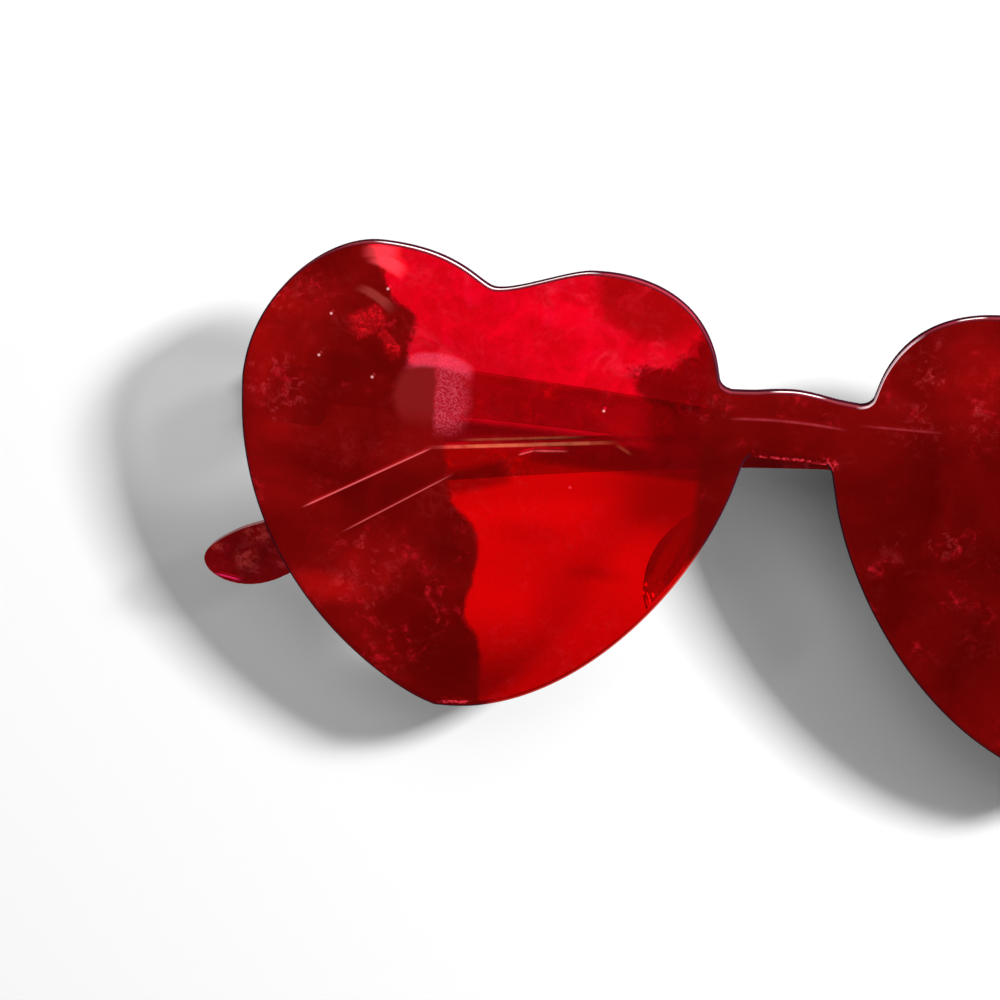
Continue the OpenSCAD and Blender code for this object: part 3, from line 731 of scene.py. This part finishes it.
def steel_material():
    """Bright plated steel of the hinge screws."""
    material, g = new_material("plated_steel")
    shader = g.add("ShaderNodeBsdfPrincipled")
    g.put(shader.inputs["Base Color"], (0.7, 0.7, 0.72, 1))
    g.put(shader.inputs["Metallic"], 1.0)
    g.put(shader.inputs["Roughness"], 0.2)
    g.put(g.add("ShaderNodeOutputMaterial").inputs[0], shader.outputs[0])
    return material


# Shapes

def front_outline():
    """Closed outline of the front in the sheet's frame: the border of the CAD sheet's front face, in
    order."""
    mesh = frame["nodes"]["lens_front"].data
    places = np.zeros(len(mesh.vertices) * 3)
    mesh.vertices.foreach_get("co", places)
    places = on_sheet(places.reshape(-1, 3))
    mesh.calc_loop_triangles()
    faces = np.array([t.vertices[:] for t in mesh.loop_triangles])
    flat = np.all(np.abs(places[faces][:, :, 2]) < 0.05 * MM, axis=1)
    step = 0.001 * MM
    keys = np.round(places[:, :2] / step).astype(int)
    uses = {}
    for face in faces[flat]:
        for a, b in ((0, 1), (1, 2), (2, 0)):
            pair = tuple(keys[face[a]]), tuple(keys[face[b]])
            uses[pair] = uses.get(pair, 0) + 1
    onward = {a: b for a, b in uses if (b, a) not in uses}
    start = min(onward)
    loop = [start]
    while onward[loop[-1]] != start:
        loop.append(onward[loop[-1]])
    return np.array(loop, float) * step


def smooth_loop(loop, parts):
    """Closed loop with parts points on each side, each side a cubic that runs through the loop's own
    points, with the slope at a point taken from its two neighbours."""
    before, here, after, later = (np.roll(loop, k, axis=0) for k in (1, 0, -1, -2))
    t = np.arange(parts)[None, :, None] / parts
    before, here, after, later = (p[:, None, :] for p in (before, here, after, later))
    curve = 0.5 * (
        2 * here + (after - before) * t
        + (2 * before - 5 * here + 4 * after - later) * t ** 2
        + (3 * here - before - 3 * after + later) * t ** 3
    )
    return curve.reshape(-1, 2)


def loop_normals(loop):
    """Outward unit normals of a closed counterclockwise loop, from the chord between each point's
    neighbours."""
    chord = np.roll(loop, -1, axis=0) - np.roll(loop, 1, axis=0)
    chord /= np.linalg.norm(chord, axis=1, keepdims=True)
    return np.stack([chord[:, 1], -chord[:, 0]], axis=1)


def add_piece(name, points, faces, body, material):
    """New piece with smooth shading, that rides on a body and shows a material."""
    mesh = bpy.data.meshes.new(name)
    mesh.from_pydata(points.tolist(), [], faces)
    mesh.polygons.foreach_set("use_smooth", [True] * len(mesh.polygons))
    mesh.update()
    piece = bpy.data.objects.new(name, mesh)
    bpy.context.scene.collection.objects.link(piece)
    mesh.materials.append(material)
    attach(piece, body)
    return piece


def front_sheet(material, edge, rim):
    """Sheet with rounded edges: its outline is carried through the thickness while it steps in by a
    quarter round at the front and at the back, and both ends are closed by flat faces."""
    front_round = 0.22 * MM
    back_round = 0.18 * MM
    rim_width = 0.25 * MM
    loop = smooth_loop(front_outline(), 4)
    normals = loop_normals(loop)
    turn = np.radians(np.linspace(90, 0, 5))
    inward, onward = 1 - np.cos(turn), 1 - np.sin(turn)
    # Rings from the front face's border out over the front round, down the wall and in over the back round
    front = np.stack([front_round * inward, -front_round * onward], axis=1)
    back = np.stack([back_round * inward, back_round * onward - SHEET_T], axis=1)[::-1]
    rings = np.concatenate([[[rim_width, 0.0]], front, back])
    flat = loop[None] - rings[:, None, :1] * normals[None]
    depth = np.broadcast_to(rings[:, None, 1:], flat.shape[:2] + (1,))
    points = off_sheet(np.concatenate([flat, depth], axis=2).reshape(-1, 3))
    count, around = len(rings), len(loop)
    ring, step = np.meshgrid(np.arange(count - 1), np.arange(around), indexing="ij")
    after = (step + 1) % around
    near, far = ring * around, (ring + 1) * around
    walls = np.stack([near + step, far + step, far + after, near + after], axis=2).reshape(-1, 4).tolist()
    top = list(range(around))
    bottom = list(range((count - 1) * around, count * around))[::-1]
    piece = add_piece("front_sheet", points, walls + [top, bottom], "front", material)
    piece.data.materials.append(edge)
    piece.data.materials.append(rim)
    kinds = [1 if k // around >= len(front) else 2 for k in range(len(walls))]
    piece.data.polygons.foreach_set("material_index", kinds + [0, 0])
    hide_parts("lens_front")
    piece.modifiers.new("flat_faces", "WEIGHTED_NORMAL").keep_sharp = True
    return piece


def finish_node(name, material, edge):
    """CAD node finished in place: its loose triangles are welded, its corners rounded by edge and its
    shading smoothed."""
    node = frame["nodes"][name]
    mesh = node.data
    mesh.polygons.foreach_set("use_smooth", [True] * len(mesh.polygons))
    mesh.materials.clear()
    mesh.materials.append(material)
    node.modifiers.new("weld", "WELD").merge_threshold = 0.002 * MM
    if edge:
        bevel = node.modifiers.new("edges", "BEVEL")
        bevel.width = edge
        bevel.segments = 3
        bevel.limit_method = "ANGLE"
        bevel.angle_limit = math.radians(40)
    node.modifiers.new("shading", "WEIGHTED_NORMAL").keep_sharp = True
    return node


# Camera: the eye stands above the hearts' upper side, over the wearer's right-hand heart
FOCAL = 104.8
SENSOR = 36.0
# Turn of the camera about the sheet's normal, and its lean to the side and towards the top of the hearts
ROLL, SIDE_LEAN, TOP_LEAN = (math.radians(a) for a in (-6.811, -5.973, 18.0))
# In mm: from the eye to the plane of its aim, from the aim aside and up to a point by the bridge, and from
# that point along the sheet to the bridge's middle
EYE_DISTANCE = 384.0
BRIDGE_ASIDE = 39.56
BRIDGE_ABOVE = 9.231
MIDDLE_SHIFT = -1.0426


def add_camera():
    """Camera that looks down its own Z at the aim, and stands by the turn and leans from the sheet's
    frame."""
    lean = Matrix.Rotation(SIDE_LEAN, 3, "Y") @ Matrix.Rotation(TOP_LEAN, 3, "X")
    turn = Matrix.Rotation(ROLL, 3, "Z") @ lean
    bridge = Vector((BRIDGE_ASIDE, BRIDGE_ABOVE, 0.0)) + MIDDLE_SHIFT * turn.col[0]
    eye = turn.transposed() @ (Vector((0.0, 0.0, EYE_DISTANCE)) - bridge)
    lens = bpy.data.cameras.new("camera")
    lens.sensor_width = SENSOR
    lens.lens = FOCAL
    lens.clip_start = 0.01
    camera = bpy.data.objects.new("camera", lens)
    bpy.context.scene.collection.objects.link(camera)
    axes = SHEET_AXES @ turn.transposed()
    camera.matrix_world = Matrix.Translation(from_sheet(*eye)) @ axes.to_4x4()
    bpy.context.scene.camera = camera


def add_light(name, azimuth, elevation, distance, size, power, colour=(1.0, 1.0, 1.0)):
    """Square soft light that looks at the middle of the glasses from an azimuth and an elevation in
    degrees."""
    data = bpy.data.lights.new(name, "AREA")
    data.size = size
    data.energy = power
    data.color = colour
    light = bpy.data.objects.new(name, data)
    a, e = math.radians(azimuth), math.radians(elevation)
    away = Vector((math.cos(a) * math.cos(e), math.sin(a) * math.cos(e), math.sin(e)))
    light.location = away * distance
    light.rotation_euler = away.to_track_quat("Z", "Y").to_euler()
    bpy.context.scene.collection.objects.link(light)
    return light


def add_floor():
    """Plain pale table."""
    material, g = new_material("pale_table")
    shader = g.add("ShaderNodeBsdfPrincipled")
    g.put(shader.inputs["Base Color"], (0.9, 0.9, 0.9, 1))
    g.put(shader.inputs["Roughness"], 0.9)
    g.put(shader.inputs["Specular IOR Level"], 0.0)
    g.put(g.add("ShaderNodeOutputMaterial").inputs[0], shader.outputs[0])
    half = 3.0
    mesh = bpy.data.meshes.new("table")
    corners = [(-half, -half, 0), (half, -half, 0), (half, half, 0), (-half, half, 0)]
    mesh.from_pydata(corners, [], [(0, 1, 2, 3)])
    mesh.materials.append(material)
    floor = bpy.data.objects.new("table", mesh)
    bpy.context.scene.collection.objects.link(floor)


red = sheet_material()
arm = arm_material()
steel = steel_material()
pad = pad_material()

front_sheet(red, edge_material(), rim_material())
for side in ("left", "right"):
    finish_node(side + "_nose_pad", pad, 0.0)
    finish_node(side + "_hinge_block", arm, 0.25 * MM)
    finish_node(side + "_hinge_screw", steel, 0.08 * MM)
    finish_node(side + "_temple", arm, 0.25 * MM)

add_floor()
add_camera()
add_light("key", 35, 28, 2.0, 0.3, 86)
add_light("fill", 95, 45, 2.0, 1.6, 12)
world = bpy.data.worlds.new("studio")
bpy.context.scene.world = world
world.use_nodes = True
world.node_tree.nodes["Background"].inputs[0].default_value = (1, 1, 1, 1)
world.node_tree.nodes["Background"].inputs[1].default_value = 0.02
bpy.context.scene.view_settings.view_transform = "Standard"
